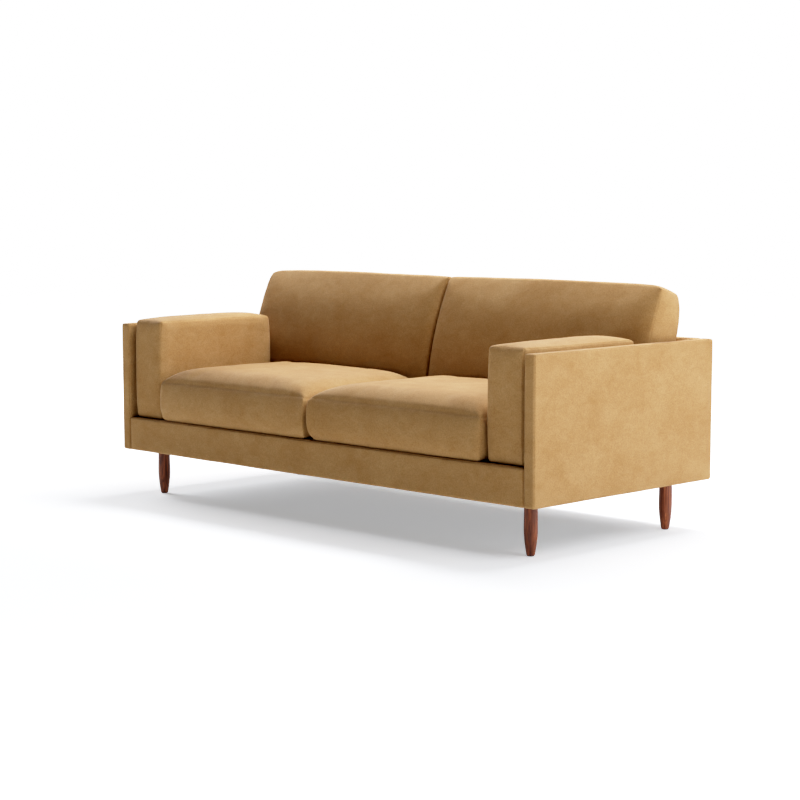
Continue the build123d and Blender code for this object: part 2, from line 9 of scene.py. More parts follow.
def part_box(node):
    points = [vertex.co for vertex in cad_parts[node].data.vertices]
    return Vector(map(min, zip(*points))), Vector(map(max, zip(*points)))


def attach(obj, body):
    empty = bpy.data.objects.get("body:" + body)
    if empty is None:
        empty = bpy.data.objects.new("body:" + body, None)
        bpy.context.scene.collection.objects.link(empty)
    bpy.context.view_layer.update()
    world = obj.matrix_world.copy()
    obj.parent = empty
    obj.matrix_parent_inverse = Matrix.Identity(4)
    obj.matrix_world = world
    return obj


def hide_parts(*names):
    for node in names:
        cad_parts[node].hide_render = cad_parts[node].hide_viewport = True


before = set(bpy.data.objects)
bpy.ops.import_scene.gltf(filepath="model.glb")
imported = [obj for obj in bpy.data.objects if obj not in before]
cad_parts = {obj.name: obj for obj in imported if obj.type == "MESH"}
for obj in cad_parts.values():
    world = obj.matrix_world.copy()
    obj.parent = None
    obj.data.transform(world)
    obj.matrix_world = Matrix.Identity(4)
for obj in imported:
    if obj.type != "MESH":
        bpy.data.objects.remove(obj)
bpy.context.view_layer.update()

# Metres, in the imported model's frame: +Z up, -Y out of the sofa's front, +X to the right.

# ------------------------------------------------------------------ places, from the frame


def node_box(name):
    """Lowest and highest corner of a CAD node, as two arrays."""
    low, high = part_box(name)
    return np.array(low), np.array(high)


DECK = node_box("deck_cloth")[1][2]
SIDES = {"left": -1.0, "right": 1.0}

# ------------------------------------------------------------------ materials


class Shader:
    """One Principled material and the few node kinds that these materials share."""

    def __init__(self, name, roughness=0.8, **constants):
        self.material = bpy.data.materials.new(name)
        self.material.use_nodes = True
        self.nodes = self.material.node_tree.nodes
        self.links = self.material.node_tree.links
        self.bsdf = self.nodes["Principled BSDF"]
        self.bsdf.inputs["Roughness"].default_value = roughness
        for socket, value in constants.items():
            self.bsdf.inputs[socket.replace("_", " ")].default_value = value
        self.coordinates = self.nodes.new("ShaderNodeTexCoord").outputs["Object"]

    def place(self, offset=(0, 0, 0), stretch=(1, 1, 1), turn=(0, 0, 0)):
        mapping = self.nodes.new("ShaderNodeMapping")
        mapping.inputs["Location"].default_value = offset
        mapping.inputs["Scale"].default_value = stretch
        mapping.inputs["Rotation"].default_value = turn
        self.links.new(self.coordinates, mapping.inputs["Vector"])
        return mapping.outputs["Vector"]

    def noise(self, vector, scale, detail=2.0, roughness=0.5, distortion=0.0):
        node = self.nodes.new("ShaderNodeTexNoise")
        node.inputs["Scale"].default_value = scale
        node.inputs["Detail"].default_value = detail
        node.inputs["Roughness"].default_value = roughness
        node.inputs["Distortion"].default_value = distortion
        self.links.new(vector, node.inputs["Vector"])
        return node.outputs["Fac"]

    def wave(self, vector, scale, distortion=0.0, direction="X", detail=2.0):
        node = self.nodes.new("ShaderNodeTexWave")
        node.bands_direction = direction
        node.inputs["Scale"].default_value = scale
        node.inputs["Distortion"].default_value = distortion
        node.inputs["Detail"].default_value = detail
        self.links.new(vector, node.inputs["Vector"])
        return node.outputs["Fac"]

    def ramp(self, factor, stops):
        """A colour ramp from (position, colour) stops."""
        node = self.nodes.new("ShaderNodeValToRGB")
        elements = node.color_ramp.elements
        while len(elements) < len(stops):
            elements.new(0.5)
        for element, (position, colour) in zip(elements, stops):
            element.position = position
            element.color = (*colour, 1.0)
        self.links.new(factor, node.inputs["Fac"])
        return node.outputs["Color"]

    def remap(self, factor, low, high, from_low=0.0, from_high=1.0):
        node = self.nodes.new("ShaderNodeMapRange")
        node.inputs["From Min"].default_value = from_low
        node.inputs["From Max"].default_value = from_high
        node.inputs["To Min"].default_value = low
        node.inputs["To Max"].default_value = high
        self.links.new(factor, node.inputs["Value"])
        return node.outputs["Result"]

    def math(self, operation, a, b):
        node = self.nodes.new("ShaderNodeMath")
        node.operation = operation
        for socket, value in zip(node.inputs, (a, b)):
            if isinstance(value, float):
                socket.default_value = value
            else:
                self.links.new(value, socket)
        return node.outputs["Value"]

    def tint(self, colour, factor):
        """colour, made lighter or darker by a factor around 1."""
        node = self.nodes.new("ShaderNodeMix")
        node.data_type = "RGBA"
        node.blend_type = "MULTIPLY"
        node.inputs["Factor"].default_value = 1.0
        self.links.new(colour, node.inputs["A"])
        self.links.new(factor, node.inputs["B"])
        return node.outputs["Result"]

    def use(self, socket, output):
        self.links.new(output, self.bsdf.inputs[socket])

    def bump(self, heights):
        """Bumps stacked from (height, distance in metres, strength) entries."""
        last = None
        for height, distance, strength in heights:
            node = self.nodes.new("ShaderNodeBump")
            node.inputs["Distance"].default_value = distance
            node.inputs["Strength"].default_value = strength
            self.links.new(height, node.inputs["Height"])
            if last is not None:
                self.links.new(last, node.inputs["Normal"])
            last = node.outputs["Normal"]
        self.use("Normal", last)


VELVET_DARK = (0.333, 0.190, 0.079)
VELVET_MIDDLE = (0.374, 0.225, 0.100)
VELVET_LIGHT = (0.418, 0.264, 0.125)
VELVET_SHEEN = (0.70, 0.80, 1.0, 1.0)


def velvet(name, seed):
    """Short-pile velvet: faint clouds where the nap lies differently, brush strokes, fine grain."""
    shader = Shader(
        name,
        roughness=0.9,
        Sheen_Weight=0.12,
        Sheen_Roughness=0.4,
        Sheen_Tint=VELVET_SHEEN,
        Specular_IOR_Level=0.05,
    )
    shift = (seed * 3.7, seed * -2.3, seed * 1.9)
    plain = shader.place(offset=shift)
    clouds = shader.noise(plain, 6.0, detail=3.0, roughness=0.5, distortion=0.4)
    strokes = shader.place(offset=shift, stretch=(1.0, 1.0, 1.6), turn=(0.5, 0.4, 0.3))
    brushed = shader.noise(strokes, 20.0, detail=4.0, roughness=0.6, distortion=0.7)
    fine = shader.noise(plain, 230.0, detail=3.0, roughness=0.75)
    weave = shader.noise(plain, 900.0, detail=1.0, roughness=0.5)
    clouds_share = shader.math("MULTIPLY", clouds, 0.5)
    nap = shader.math("ADD", clouds_share, shader.math("MULTIPLY", brushed, 0.5))
    colour = shader.ramp(nap, [(0.29, VELVET_DARK), (0.50, VELVET_MIDDLE), (0.71, VELVET_LIGHT)])
    grain = shader.remap(fine, 0.82, 1.18, 0.28, 0.72)
    shader.use("Base Color", shader.tint(colour, grain))
    shader.use("Roughness", shader.remap(nap, 0.98, 0.86, 0.3, 0.7))
    shader.bump([(brushed, 0.003, 0.10), (fine, 0.0010, 0.30), (weave, 0.0004, 0.25)])
    return shader.material


def wood(name, dark, middle, light, along, scale, roughness, gloss=0.0):
    """Timber whose grain runs along one axis: growth bands, fine pores, and a slow change of tone."""
    shader = Shader(name, roughness=roughness, Coat_Weight=gloss, Coat_Roughness=0.25)
    stretch = [scale, scale, scale]
    stretch["XYZ".index(along)] = scale * 0.07
    grain = shader.place(stretch=tuple(stretch))
    bands = shader.noise(grain, 1.6, detail=5.0, roughness=0.62, distortion=1.4)
    pores = shader.noise(grain, 9.0, detail=3.0, roughness=0.7, distortion=0.3)
    tone = shader.noise(shader.place(), 6.0, detail=1.0)
    colour = shader.ramp(bands, [(0.32, dark), (0.50, middle), (0.68, light)])
    colour = shader.tint(colour, shader.remap(pores, 0.72, 1.12, 0.30, 0.62))
    colour = shader.tint(colour, shader.remap(tone, 0.88, 1.12, 0.3, 0.7))
    shader.use("Base Color", colour)
    shader.use("Roughness", shader.remap(pores, roughness + 0.14, roughness - 0.06, 0.3, 0.7))
    shader.bump([(bands, 0.0006, 0.25), (pores, 0.0003, 0.35)])
    return shader.material


def woven(name, dark, light, threads, roughness=0.9):
    """A plain weave: two sets of threads at right angles, with slubs and a little soiling."""
    shader = Shader(name, roughness=roughness, Sheen_Weight=0.15, Sheen_Roughness=0.5)
    plain = shader.place()
    warp = shader.wave(plain, threads, distortion=0.6, direction="X", detail=1.0)
    weft = shader.wave(plain, threads, distortion=0.6, direction="Y", detail=1.0)
    cloth = shader.math("MULTIPLY", warp, weft)
    slubs = shader.noise(shader.place(stretch=(1.0, 9.0, 9.0)), 24.0, detail=3.0)
    height = shader.math("ADD", cloth, shader.math("MULTIPLY", slubs, 0.5))
    colour = shader.ramp(height, [(0.25, dark), (1.0, light)])
    soil = shader.noise(plain, 4.0, detail=4.0)
    shader.use("Base Color", shader.tint(colour, shader.remap(soil, 0.82, 1.08, 0.3, 0.7)))
    shader.bump([(cloth, 0.0004, 0.5), (slubs, 0.0006, 0.3)])
    return shader.material


def metal(name, dark, light, roughness, scratch=(1.0, 1.0, 14.0)):
    """Plated or oiled steel: drawn lines, smudges and faint spots."""
    shader = Shader(name, roughness=roughness, Metallic=1.0)
    drawn = shader.noise(shader.place(stretch=scratch), 160.0, detail=4.0, roughness=0.65)
    smudge = shader.noise(shader.place(), 22.0, detail=4.0, roughness=0.6, distortion=0.5)
    shader.use("Base Color", shader.ramp(smudge, [(0.3, dark), (0.62, light)]))
    shader.use("Roughness", shader.remap(smudge, roughness + 0.16, roughness - 0.05, 0.3, 0.7))
    shader.bump([(drawn, 0.0002, 0.3)])
    return shader.material


def foam(name):
    """Open-cell foam: fine cells, painted darker in their middles as shade in the pits, and slight
    yellowing.
    """
    shader = Shader(name, roughness=0.95, Subsurface_Weight=0.1)
    plain = shader.place()
    cells = shader.nodes.new("ShaderNodeTexVoronoi")
    cells.inputs["Scale"].default_value = 520.0
    shader.links.new(plain, cells.inputs["Vector"])
    yellowing = shader.noise(plain, 3.0, detail=4.0)
    colour = shader.ramp(yellowing, [(0.3, (0.78, 0.68, 0.44)), (0.7, (0.90, 0.86, 0.70))])
    # the middle of each cell is painted darker: painted shade in the foam's pits
    pit_shade = shader.remap(cells.outputs["Distance"], 0.78, 1.05, 0.0, 0.6)
    shader.use("Base Color", shader.tint(colour, pit_shade))
    shader.bump([(cells.outputs["Distance"], 0.0012, 0.5)])
    return shader.material


def felt(name, dark, light):
    """Pressed fibre: matted clumps and short stray fibres."""
    shader = Shader(name, roughness=0.95, Sheen_Weight=0.2, Sheen_Roughness=0.5)
    plain = shader.place()
    clumps = shader.noise(plain, 60.0, detail=6.0, roughness=0.7, distortion=1.2)
    fibres = shader.noise(shader.place(stretch=(1.0, 6.0, 6.0)), 240.0, detail=3.0, roughness=0.7)
    shader.use("Base Color", shader.ramp(clumps, [(0.3, dark), (0.7, light)]))
    shader.bump([(clumps, 0.0015, 0.4), (fibres, 0.0005, 0.5)])
    return shader.material


def plastic(name, dark, light):
    """Moulded plastic: fine texture, scuffed a little lighter."""
    shader = Shader(name, roughness=0.5)
    plain = shader.place()
    mould = shader.noise(plain, 900.0, detail=2.0)
    scuffs = shader.noise(plain, 80.0, detail=5.0, roughness=0.7, distortion=0.8)
    shader.use("Base Color", shader.ramp(scuffs, [(0.45, dark), (0.75, light)]))
    shader.use("Roughness", shader.remap(scuffs, 0.42, 0.68, 0.3, 0.7))
    shader.bump([(mould, 0.0002, 0.4)])
    return shader.material


# Dark, middle and light colours of each timber
WALNUT = ((0.072, 0.0170, 0.0054), (0.190, 0.0470, 0.0125), (0.335, 0.0930, 0.0255))
BEECH = ((0.42, 0.25, 0.13), (0.52, 0.33, 0.18), (0.60, 0.40, 0.24))
PINE = ((0.50, 0.30, 0.13), (0.66, 0.46, 0.24), (0.76, 0.58, 0.35))


def make_materials():
    made = {
        "walnut": wood("walnut", *WALNUT, "Z", 46.0, 0.45, gloss=0.10),
        "beech": wood("beech", *BEECH, "X", 34.0, 0.62),
        "dust_cloth": felt("dust_cloth", (0.012, 0.012, 0.013), (0.030, 0.030, 0.032)),
        "pad_felt": felt("pad_felt", (0.42, 0.40, 0.36), (0.66, 0.64, 0.59)),
        "webbing": woven("webbing", (0.16, 0.11, 0.06), (0.42, 0.31, 0.18), 140.0),
        "deck_fabric": woven("deck_fabric", (0.115, 0.066, 0.026), (0.27, 0.165, 0.070), 260.0),
        "zinc": metal("zinc", (0.42, 0.42, 0.40), (0.68, 0.68, 0.66), 0.34),
        "spring_steel": metal("spring_steel", (0.10, 0.10, 0.11), (0.30, 0.30, 0.31), 0.40),
        "glide": plastic("glide", (0.030, 0.022, 0.018), (0.090, 0.075, 0.065)),
        "foam": foam("foam"),
        "zip_tape": woven("zip_tape", (0.13, 0.070, 0.025), (0.25, 0.145, 0.058), 420.0),
        "zip_metal": metal("zip_metal", (0.24, 0.15, 0.06), (0.50, 0.35, 0.16), 0.32),
    }
    for along in "XYZ":
        made["pine_" + along] = wood("pine_" + along, *PINE, along, 26.0, 0.66)
    return made


MATERIALS = make_materials()

CAD_MATERIALS = {  # each material's CAD nodes; a timber's last letter is the axis of its grain
    "walnut": ("front_left_leg", "front_right_leg", "rear_left_leg", "rear_right_leg"),
    "beech": ("leg_mounting_blocks",),
    "glide": ("leg_glides",),
    "pad_felt": ("deck_pad",),
    "webbing": ("back_webbing",),
    "spring_steel": ("seat_springs", "spring_tie_wires"),
    "zinc": (
        "leg_inserts", "hanger_bolts", "spring_clips", "side_bolts", "side_bolt_washers",
        "side_bolt_inserts", "back_bolts", "back_bolt_washers", "back_bolt_inserts",
    ),
    "pine_X": ("front_rail", "spring_rail", "rear_rail", "back_frame"),
    "pine_Y": (
        "left_end_rail", "right_end_rail", "centre_braces", "left_side_frame", "right_side_frame",
    ),
    "pine_Z": ("back_ribs",),
}


def dress(node, material):
    """Gives a CAD node its material."""
    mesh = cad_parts[node].data
    mesh.materials.clear()
    mesh.materials.append(material)


def dress_cad_nodes():
    for material, nodes in CAD_MATERIALS.items():
        for node in nodes:
            dress(node, MATERIALS[material])
    endings = {"_core": "foam", "_zip": "zip_tape", "_zip_slider": "zip_metal"}
    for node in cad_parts:
        for ending, material in endings.items():
            if node.endswith(ending):
                dress(node, MATERIALS[material])


# ------------------------------------------------------------------ mesh helpers

EDGE_SHARES = (0.0, 0.22, 0.58, 1.0)  # how far from the edge the lines of a rounded edge lie


def edge_lines(half, radius, step):
    """Lattice positions across a box: close together round the edges, even between them."""
    ends = [half - radius * share for share in EDGE_SHARES]
    inner = ends[-1]
    count = max(2, round(2 * inner / step))
    middle = [inner - 2 * inner * i / count for i in range(1, count)]
    return np.array(sorted(ends + middle + [-end for end in ends]))


def lattice(half, radius, step):
    """The surface of a box as a grid of quads: points, faces and each point's place in the grid."""
    lines = [edge_lines(h, radius, step) for h in half]
    last = [len(line) - 1 for line in lines]
    found, faces = {}, []
    for axis in range(3):
        b, c = (axis + 1) % 3, (axis + 2) % 3
        for side in (0, last[axis]):
            for p in range(last[b]):
                for q in range(last[c]):
                    corners = []
                    for dp, dq in ((0, 0), (1, 0), (1, 1), (0, 1)):
                        key = [side, side, side]
                        key[b], key[c] = p + dp, q + dq
                        corners.append(found.setdefault(tuple(key), len(found)))
                    faces.append(corners if side else corners[::-1])
    grid = np.array(list(found))
    points = np.stack([lines[a][grid[:, a]] for a in range(3)], axis=1)
    ends = (grid == 0) | (grid == np.array(last))
    return points, faces, ends


def rounded(points, half, radius):
    """Wraps a box's surface points round edges of that radius."""
    inner = np.clip(points, -(half - radius), half - radius)
    out = points - inner
    length = np.linalg.norm(out, axis=1, keepdims=True)
    return inner + out / np.maximum(length, 1e-9) * radius


def new_object(name, points, faces):
    mesh = bpy.data.meshes.new(name)
    mesh.from_pydata(points.tolist(), [], faces)
    mesh.update()
    obj = bpy.data.objects.new(name, mesh)
    bpy.context.scene.collection.objects.link(obj)
    return obj


def coordinates(mesh):
    flat = np.empty(len(mesh.vertices) * 3, np.float32)
    mesh.vertices.foreach_get("co", flat)
    return flat.reshape(-1, 3).astype(float)


def set_coordinates(mesh, points):
    mesh.vertices.foreach_set("co", points.astype(np.float32).ravel())
    mesh.update()


def normals(mesh):
    flat = np.empty(len(mesh.vertices) * 3, np.float32)
    mesh.vertex_normals.foreach_get("vector", flat)
    return flat.reshape(-1, 3).astype(float)


def keep_flat_places(mesh, places):
    """Stores where each point was on the unwrapped box, so that subdivision carries it along."""
    attribute = mesh.attributes.new("flat_place", "FLOAT_VECTOR", "POINT")
    attribute.data.foreach_set("vector", places.astype(np.float32).ravel())


def flat_places(mesh):
    flat = np.empty(len(mesh.vertices) * 3, np.float32)
    mesh.attributes["flat_place"].data.foreach_get("vector", flat)
    return flat.reshape(-1, 3).astype(float)


def subdivide(obj, levels=1):
    modifier = obj.modifiers.new("subdivide", "SUBSURF")
    modifier.levels = levels
    modifier.render_levels = levels
    graph = bpy.context.evaluated_depsgraph_get()
    finer = bpy.data.meshes.new_from_object(obj.evaluated_get(graph))
    obj.modifiers.remove(modifier)
    coarse = obj.data
    obj.data = finer
    bpy.data.meshes.remove(coarse)


def waves(points, scale, seed, stretch=(1.0, 1.0, 1.0)):
    """Smooth noise at each point, from about -1 to 1."""
    shift = Vector((seed * 7.1, seed * 3.3, seed * 5.9))
    places = points * np.array(stretch) * scale
    return np.array([noise.noise(Vector(place) + shift) for place in places])


def shade_smooth(obj):
    obj.data.polygons.foreach_set("use_smooth", [True] * len(obj.data.polygons))


def soften(obj, share, times=5):
    """Moves each point towards the middle of its neighbours, by its share, to melt creases."""
    pairs = np.empty(len(obj.data.edges) * 2, np.int32)
    obj.data.edges.foreach_get("vertices", pairs)
    pairs = pairs.reshape(-1, 2)
    start, end = np.vstack([pairs, pairs[:, ::-1]]).T
    points = coordinates(obj.data)
    count = np.bincount(start, minlength=len(points))[:, None]
    for _ in range(times):
        total = np.zeros_like(points)
        np.add.at(total, start, points[end])
        points += (total / count - points) * 0.5 * share[:, None]
    set_coordinates(obj.data, points)


CLOTH_FRAMES = 20


def inflate(obj, pinned, pressure, cap):
    """Blows the piece up as cloth, and keeps each point within cap of where it started."""
    rest = coordinates(obj.data)
    group = obj.vertex_groups.new(name="pinned")
    group.add(np.flatnonzero(pinned).tolist(), 1.0, "REPLACE")
    cloth = obj.modifiers.new("cloth", "CLOTH")
    settings = cloth.settings
    settings.quality = 4
    settings.mass = 0.4
    settings.tension_stiffness = 12.0
    settings.compression_stiffness = 12.0
    settings.shear_stiffness = 6.0
    settings.bending_stiffness = 1.5
    settings.vertex_group_mass = group.name
    settings.use_pressure = True
    settings.uniform_pressure_force = pressure
    settings.effector_weights.gravity = 0.0
    cloth.point_cache.frame_start = 1
    cloth.point_cache.frame_end = CLOTH_FRAMES
    for step in range(1, CLOTH_FRAMES + 1):
        bpy.context.scene.frame_set(step)
    graph = bpy.context.evaluated_depsgraph_get()
    blown = obj.evaluated_get(graph).to_mesh()
    move = coordinates(blown) - rest
    obj.evaluated_get(graph).to_mesh_clear()
    obj.modifiers.remove(cloth)
    obj.vertex_groups.remove(group)
    bpy.context.scene.frame_set(1)
    length = np.linalg.norm(move, axis=1, keepdims=True)
    eased = cap * np.tanh(length / cap)
    set_coordinates(obj.data, rest + move / np.maximum(length, 1e-9) * eased)


def finish_piece(obj, body, replaced, material):
    shade_smooth(obj)
    obj.data.materials.append(material)
    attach(obj, body)
    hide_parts(*replaced)


# ------------------------------------------------------------------ cushions

SEAM_DEPTH = 0.0022
SOFT_SEAM_DEPTH = 0.0010
GATHER_REACH = 0.022  # from a seam
GATHER_DEPTH = 0.0007
SLOW_SWELL = 0.0016
QUICK_SWELL = 0.0006


def seam_lines(ends, panel_axis):
    """Points on the seams round the two large faces, which lie across panel_axis."""
    others = [a for a in range(3) if a != panel_axis]
    return ends[:, panel_axis] & (ends[:, others[0]] | ends[:, others[1]])


def sew(obj, seams, depth=SEAM_DEPTH):
    """Draws the seam points in, so that a groove runs along each seam."""
    points = coordinates(obj.data)
    points[seams] -= normals(obj.data)[seams] * depth
    set_coordinates(obj.data, points)


def seam_distance(places, half, panel_axis):
    """How far a point is from the nearest seam, over the surface of the unwrapped box."""
    to_faces = half - abs(places)
    to_panel = to_faces[:, panel_axis]
    to_side = np.delete(to_faces, panel_axis, axis=1).min(axis=1)
    return np.maximum(to_side, to_panel)


def pucker(obj, half, panel_axis, seed):
    """Small gathers along the seams, and slow swells over the whole cushion."""
    points = coordinates(obj.data)
    places = flat_places(obj.data)
    near = np.exp(-((seam_distance(places, half, panel_axis) / GATHER_REACH) ** 2))
    gathers = waves(places, 55.0, seed) * near * GATHER_DEPTH
    slow, quick = waves(places, 5.0, seed + 1), waves(places, 13.0, seed + 2)
    swells = slow * SLOW_SWELL + quick * QUICK_SWELL
    resting = points[:, 2] < DECK + 0.004
    shift = np.where(resting, 0.0, gathers + swells)
    set_coordinates(obj.data, points + normals(obj.data) * shift[:, None])


def crown(share, power):
    """1 in the middle and 0 at the edge, flatter in the middle the higher the power."""
    return 1.0 - np.clip(abs(share), 0.0, 1.0) ** power


# ---- shapes: each takes lattice points on a box and returns the cushion's surface

# Radii of edges and corners. A pair is for the outer and the inner end of a cushion.
ARM_ROUND = 0.014
ARM_TOP_REAR = 0.024  # over about 0.027 the foam core would show through
SEAT_ROUND = 0.013
SEAT_CORNER = 0.032  # seen from the front
SEAT_CORNERS_IN_PLAN = (0.024, 0.013)
BACK_ROUND = 0.012
BACK_EDGE = 0.030  # along the top and the bottom
BACK_CORNERS = (0.055, 0.020)  # seen from the front
BACK_CORNERS_IN_PLAN = {"left": (0.014, 0.030), "right": (0.045, 0.012)}  # along the front only

# How far a face swells or draws in
ARM_FRONT_GAP = 0.010  # from its panel, at the front
ARM_SIDE_SWELL = 0.004
ARM_END_SWELL = 0.008
ARM_DOME = 0.009
ARM_DOME_SLOPE = 0.003  # more at the rear, less at the front
SEAT_RISE = 0.054
SEAT_FRONT_SWELL = 0.018
SEAT_FRONT_TUCK = 0.006  # of the front's lower edge
SEAT_END_TUCK = 0.008  # of the ends' lower edges
BACK_FRONT_SWELL = 0.010
BACK_REAR_SWELL = 0.012  # where the cushion hangs over the back panel
BACK_TOP_SWELL = 0.004

# How far in from an edge a seat cushion's top still rises steeply
SEAT_END_SHOULDERS = (0.158, 0.195)  # from its outer and its inner end
SEAT_FRONT_SHOULDER = 0.105
SEAT_REAR_SHOULDER = 0.04
SHOULDER_POWER = 0.62  # 0.5 would be a quarter of an ellipse, and more is less full


def by_end(inner_share, radii):
    """A column of radii: the first at the outer end of a cushion, the second at the inner end."""
    return np.where(inner_share > 0, radii[1], radii[0])[:, None]


def round_corners(points, half, radius, axes=(0, 1)):
    """Rounds the corners seen along the third axis, by bringing in what sticks out of that radius."""
    axes = list(axes)
    flat, reach = points[:, axes], half[axes] - radius
    inner = np.clip(flat, -reach, reach)
    out = flat - inner
    length = np.linalg.norm(out, axis=1, keepdims=True)
    points[:, axes] = inner + out * np.minimum(1.0, radius / np.maximum(length, 1e-9))
    return points


def shoulder(distance, width):
    """From 0 at an edge up to 1 at some width from it, a little less full than an ellipse."""
    share = np.clip(distance / width, 0.0, 1.0)
    return (1.0 - (1.0 - share) ** 2) ** SHOULDER_POWER


def arm_shape(places, half, centre):
    """A firm boxed cushion on its edge: slightly crowned sides, a domed top, a full front."""
    u, v, w = (places / half).T
    top_rear = ((v > 0) & (w > 0))[:, None]
    points = rounded(places, half, ARM_ROUND)
    points = round_corners(points, half, np.where(top_rear, ARM_TOP_REAR, ARM_ROUND), axes=(1, 2))
    points[:, 0] += np.sign(u) * ARM_SIDE_SWELL * crown(v, 3) * crown(w, 3) * (abs(u) > 0.5)
    outer = np.clip(u * np.sign(centre[0]), 0, 1) ** 2 * np.sign(centre[0])
    points[:, 0] -= outer * ARM_FRONT_GAP * np.clip(-v, 0, 1) ** 3
    points[:, 1] += np.sign(v) * ARM_END_SWELL * crown(w, 3) * abs(v) ** 12
    dome = ARM_DOME + ARM_DOME_SLOPE * v
    points[:, 2] += dome * crown(u, 2.2) * crown(v, 5) * np.clip(w, 0, 1) ** 4
    return points + centre


def seat_shape(places, half, centre):
    """A soft seat cushion: high in the middle, rounding over to its edges, with a full front."""
    u, v, w = (places / half).T
    inward = -np.sign(centre[0]) * u
    points = round_corners(rounded(places, half, SEAT_ROUND), half, SEAT_CORNER, axes=(0, 2))
    points = round_corners(points, half, by_end(inward, SEAT_CORNERS_IN_PLAN))
    upper = np.clip(w * 0.5 + 0.5, 0, 1)
    ends = shoulder(half[0] - abs(places[:, 0]), by_end(inward, SEAT_END_SHOULDERS)[:, 0])
    front = shoulder(half[1] + places[:, 1], SEAT_FRONT_SHOULDER)
    rear = shoulder(half[1] - places[:, 1], SEAT_REAR_SHOULDER) * 0.25 + 0.75
    dome = 0.80 + 0.20 * crown(u, 2.4) * crown(np.minimum(v + 0.1, 0.5), 2.4)
    points[:, 2] += SEAT_RISE * ends * front * rear * dome * upper**1.6
    foremost = np.clip(-v, 0, 1) ** 6
    low_edge = np.clip(-w, 0, 1) ** 3
    kept = 0.775 + 0.225 * inward  # the front stays fuller where the two cushions press together
    full = kept + (1 - kept) * crown(u, 5)
    points[:, 1] -= SEAT_FRONT_SWELL * crown(w, 2.4) * full * foremost
    points[:, 1] += SEAT_FRONT_TUCK * low_edge * foremost
    points[:, 0] -= np.sign(u) * SEAT_END_TUCK * low_edge * abs(u) ** 6
    return points + centre


def bowed(foot, middle, head):
    """A curve in the YZ plane through three points, as a function of a share from foot to head."""
    foot, middle, head = np.array(foot), np.array(middle), np.array(head)
    control = 2 * middle - 0.5 * (foot + head)

    def at(share):
        t = share[:, None]
        return (1 - t) ** 2 * foot + 2 * t * (1 - t) * control + t**2 * head

    return at


# The back cushions' front and rear and the pitched face behind them, in the YZ plane
BACK_FRONT_LINE = bowed((0.130, 0.3055), (0.1545, 0.5875), (0.263, 0.8680))
BACK_REAR_LINE = bowed((0.240, 0.3055), (0.3123, 0.5730), (0.357, 0.8395))
SUPPORT_FOOT = (0.250, 0.305)
SUPPORT_HEAD = (0.334, 0.656)


def back_shape(places, half, centre):
    """A leaning back cushion: bowed front, rolled top, curving away towards its ends."""
    u, t, h = (places / half).T
    inward = -np.sign(centre[0]) * u
    side = "left" if centre[0] < 0 else "right"
    points = round_corners(rounded(places, half, BACK_ROUND), half, BACK_EDGE, axes=(1, 2))
    points = round_corners(points, half, by_end(inward, BACK_CORNERS), axes=(0, 2))
    in_plan = np.where(t[:, None] > 0, BACK_ROUND, by_end(inward, BACK_CORNERS_IN_PLAN[side]))
    points = round_corners(points, half, in_plan)
    share = points[:, 2] / half[2] * 0.5 + 0.5
    depth = (points[:, 1] / half[1] * 0.5 + 0.5)[:, None]
    leaning = (1 - depth) * BACK_FRONT_LINE(share) + depth * BACK_REAR_LINE(share)
    swell = crown(u, 4.0) * crown(h, 3.6)
    over_support = np.exp(-(((h - 0.55) / 0.30) ** 2))
    front, rear = np.clip(-t, 0, 1) ** 2, np.clip(t, 0, 1) ** 2
    leaning[:, 0] += BACK_REAR_SWELL * over_support * rear - BACK_FRONT_SWELL * swell * front
    leaning[:, 1] += BACK_TOP_SWELL * crown(u, 2) * np.clip(h, 0, 1) ** 8
    return np.column_stack([centre[0] + points[:, 0], leaning])


def ease(value, low, high):
    """0 below low and 1 above high, smoothly."""
    share = np.clip((value - low) / (high - low), 0.0, 1.0)
    return share * share * (3.0 - 2.0 * share)


BEHIND_SEAT = 0.1285  # where the room behind the seat cushions starts, along Y
SEAT_CROWN = (0.49, 0.56)  # over this height a back cushion may come further forward
SUPPORT_TOP = (0.660, 0.72)  # over this height the support behind it ends
SUPPORT_GAP = 0.0015


def hold_back(points):
    """Keeps a back cushion off the seat in front of it and the support behind it."""
    y, z = points[:, 1], points[:, 2]
    foremost = BEHIND_SEAT - 0.03 * ease(z, *SEAT_CROWN)
    shares = np.linspace(0, 1, 40)
    line = BACK_REAR_LINE(shares)
    rear = np.interp(z, line[:, 1], line[:, 0])
    slope = (SUPPORT_HEAD[0] - SUPPORT_FOOT[0]) / (SUPPORT_HEAD[1] - SUPPORT_FOOT[1])
    support = SUPPORT_FOOT[0] + (z - SUPPORT_FOOT[1]) * slope - SUPPORT_GAP
    support = support + 0.05 * ease(z, *SUPPORT_TOP)
    swollen = rear + 0.016 * ease(z, 0.42, 0.66)
    points[:, 1] = np.clip(y, foremost, np.minimum(swollen, support))
    return points


CUSHION_INSET = 0.001  # from the CAD box, before the cushion is blown up
BACK_HALF_SECTION = (0.058, 0.284)  # half the thickness and half the height, before it leans

# For each kind: the axis across its large faces, its lattice, the height of its top before it is
# domed, how hard it is blown up and by how much at most, and how full it is
KINDS = {
    "arm_cushion": {
        "shape": arm_shape, "panels": 0, "radius": ARM_ROUND, "step": 0.014,
        "top": 0.6860, "pressure": 3.0, "cap": 0.004, "fill": 0.85,
    },
    "seat_cushion": {
        "shape": seat_shape, "panels": 2, "radius": SEAT_ROUND, "step": 0.015,
        "top": 0.4560, "pressure": 4.0, "cap": 0.006, "fill": 0.7,
    },
    "back_cushion": {
        "shape": back_shape, "panels": 1, "radius": BACK_ROUND, "step": 0.015,
        "pressure": 4.0, "cap": 0.007, "fill": 0.65,
    },
}

